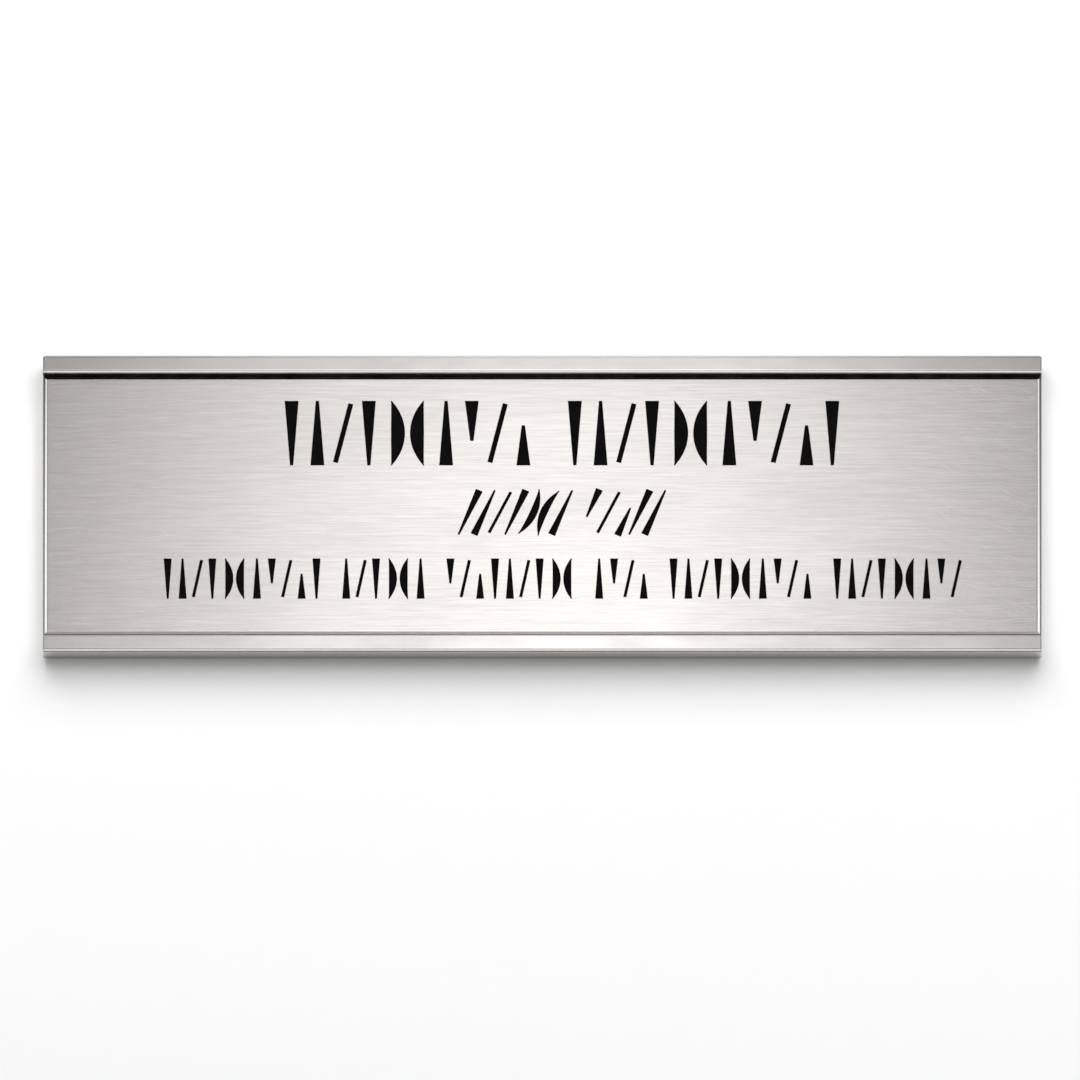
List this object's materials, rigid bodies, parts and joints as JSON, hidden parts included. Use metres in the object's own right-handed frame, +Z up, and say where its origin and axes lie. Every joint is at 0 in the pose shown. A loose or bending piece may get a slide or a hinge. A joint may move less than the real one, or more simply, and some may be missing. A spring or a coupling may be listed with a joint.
{
  "type": "stall name plate",
  "caption": "Slim wall holder of extruded aluminium with a bevelled brushed-silver name plate slid between its lips; rows of shallow dark strokes stand in for an inscription.",
  "frame": {"origin": "middle of the holder's flat back face, which lies against the wall", "axes": "+X to the right along the plate's length as seen from the front, +Y into the wall, so the front looks towards -Y, +Z up"},
  "size_m": [0.2032, 0.0048, 0.0636],
  "materials": {
    "holder_aluminium": "satin",
    "plate_silver": "brushed"
  },
  "bodies": {
    "root": {"holder": "holder_aluminium", "name_plate": "plate_silver"}
  },
  "joints": []
}
